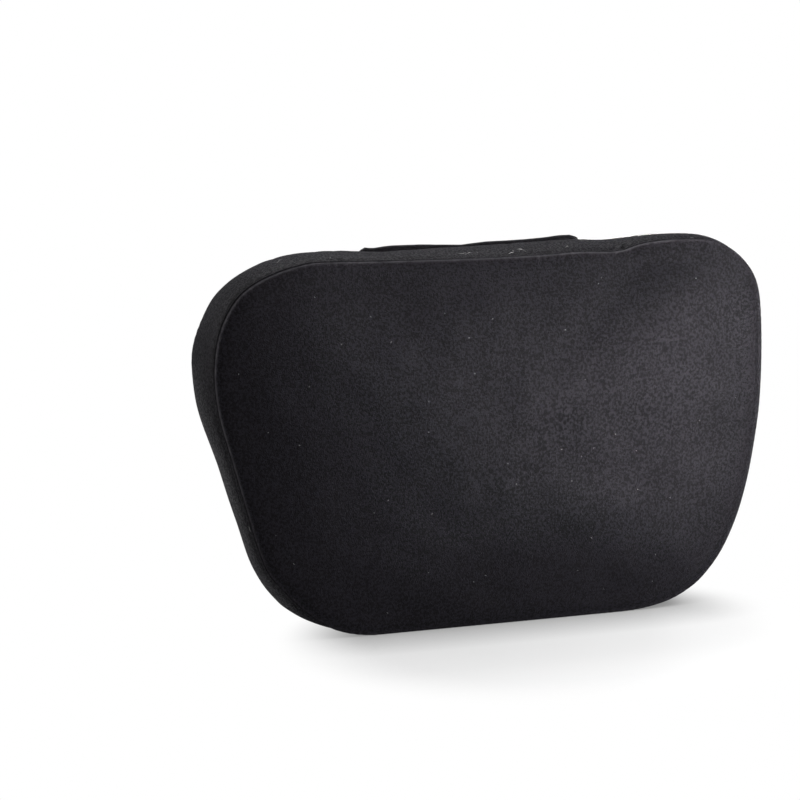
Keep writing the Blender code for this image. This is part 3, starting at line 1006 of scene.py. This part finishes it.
def white_floor():
    """A floor that the camera sees as white, with the object's soft shadow and a painted contact shade
    kept near the object.
    """
    made, nodes, links, shader = node_tree("white_floor")
    shader.inputs["Roughness"].default_value = 1.0
    shader.inputs["Specular IOR Level"].default_value = 0.0
    path = nodes.new("ShaderNodeLightPath")
    tone = nodes.new("ShaderNodeMix")
    tone.data_type = "RGBA"
    links.new(path.outputs["Is Camera Ray"], tone.inputs["Factor"])
    tone.inputs["A"].default_value = (*(FLOOR_BOUNCE,) * 3, 1)
    # Painted contact shade: ambient occlusion darkens the floor's colour near the object
    contact_shade = nodes.new("ShaderNodeAmbientOcclusion")
    contact_shade.inputs["Distance"].default_value = FLOOR_SHADE_REACH
    contact_shade.inputs["Color"].default_value = (*(FLOOR_COLOUR,) * 3, 1)
    links.new(contact_shade.outputs["Color"], tone.inputs["B"])
    links.new(tone.outputs["Result"], shader.inputs["Base Color"])
    glow = nodes.new("ShaderNodeEmission")
    glow.inputs["Strength"].default_value = 1.0
    where = nodes.new("ShaderNodeTexCoord")
    shift = nodes.new("ShaderNodeVectorMath")
    shift.operation = "ADD"
    shift.inputs[1].default_value = FLOOR_SHIFT
    links.new(where.outputs["Object"], shift.inputs[0])
    length = nodes.new("ShaderNodeVectorMath")
    length.operation = "LENGTH"
    links.new(shift.outputs[0], length.inputs[0])
    far = nodes.new("ShaderNodeMapRange")
    far.interpolation_type = "SMOOTHSTEP"
    far.inputs["From Min"].default_value = FLOOR_FADE[0]
    far.inputs["From Max"].default_value = FLOOR_FADE[1]
    far.inputs["To Min"].default_value = FLOOR_GLOW
    far.inputs["To Max"].default_value = 1.0
    links.new(length.outputs["Value"], far.inputs["Value"])
    seen = nodes.new("ShaderNodeMath")
    seen.operation = "MULTIPLY"
    links.new(far.outputs["Result"], seen.inputs[0])
    links.new(path.outputs["Is Camera Ray"], seen.inputs[1])
    mixed = nodes.new("ShaderNodeMixShader")
    links.new(seen.outputs[0], mixed.inputs["Fac"])
    links.new(shader.outputs[0], mixed.inputs[1])
    links.new(glow.outputs[0], mixed.inputs[2])
    links.new(mixed.outputs[0], nodes["Material Output"].inputs["Surface"])
    return made


def make_stage():
    """The floor, the white around it and the lamps."""
    bpy.ops.mesh.primitive_plane_add(size=FLOOR_SIZE)
    floor = bpy.context.object
    floor.name = "floor"
    floor.data.materials.append(white_floor())
    world = bpy.data.worlds.new("studio")
    bpy.context.scene.world = world
    world.use_nodes = True
    nodes, links = world.node_tree.nodes, world.node_tree.links
    seen = nodes["Background"]
    seen.inputs["Color"].default_value = (1, 1, 1, 1)
    seen.inputs["Strength"].default_value = 1.0
    lit = nodes.new("ShaderNodeBackground")
    lit.inputs["Color"].default_value = (1, 1, 1, 1)
    lit.inputs["Strength"].default_value = WORLD_LIGHT
    path = nodes.new("ShaderNodeLightPath")
    either = nodes.new("ShaderNodeMixShader")
    links.new(path.outputs["Is Camera Ray"], either.inputs["Fac"])
    links.new(lit.outputs[0], either.inputs[1])
    links.new(seen.outputs[0], either.inputs[2])
    links.new(either.outputs[0], nodes["World Output"].inputs["Surface"])
    for name, spot, size, power in LIGHTS:
        area_light(name, spot, size, power)


def make_camera():
    """The camera at the photograph's angle."""
    data = bpy.data.cameras.new("camera")
    camera = bpy.data.objects.new("camera", data)
    flat = math.cos(CAMERA_ELEVATION)
    back = Vector((
        -math.sin(CAMERA_AZIMUTH) * flat,
        -math.cos(CAMERA_AZIMUTH) * flat,
        math.sin(CAMERA_ELEVATION),
    ))
    camera.location = CAMERA_AIM + back * CAMERA_DISTANCE
    turn = (-back).to_track_quat("-Z", "Y").to_matrix()
    right, up = turn.col[0].copy(), turn.col[1].copy()
    leaned_up = up * math.cos(CAMERA_ROLL) + right * math.sin(CAMERA_ROLL)
    leaned_right = right * math.cos(CAMERA_ROLL) - up * math.sin(CAMERA_ROLL)
    for k, axis in enumerate((leaned_right, leaned_up, back)):
        turn.col[k] = axis
    camera.rotation_euler = turn.to_euler()
    data.lens = CAMERA_LENS
    data.sensor_width = CAMERA_SENSOR
    data.clip_end = 20
    bpy.context.scene.collection.objects.link(camera)
    bpy.context.scene.camera = camera


def main():
    """Dresses the pillow and sets the stage."""
    bpy.context.scene.view_settings.view_transform = "Standard"
    look = suede("black_suede")
    thread = suede("black_thread", THREAD_GLOSS, THREAD_HEIGHT)
    settled = settle(look)
    covers = make_cover(look, settled)
    make_lint(covers, plain("pale_fibre", (0.26, 0.26, 0.26), 0.8))
    make_filling(covers, plain("white_fill", (0.5, 0.5, 0.48), 0.95))
    for node, finish in (
        ("hook_strip", tape("hook_tape", (0.012, 0.012, 0.013), 650.0, 0.5 * MM)),
        ("loop_strip", tape("loop_tape", (0.006, 0.006, 0.007), 900.0, 0.6 * MM)),
    ):
        for material_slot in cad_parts[node].material_slots:
            material_slot.material = finish
    make_flap(look, thread)
    make_stage()
    make_camera()


main()
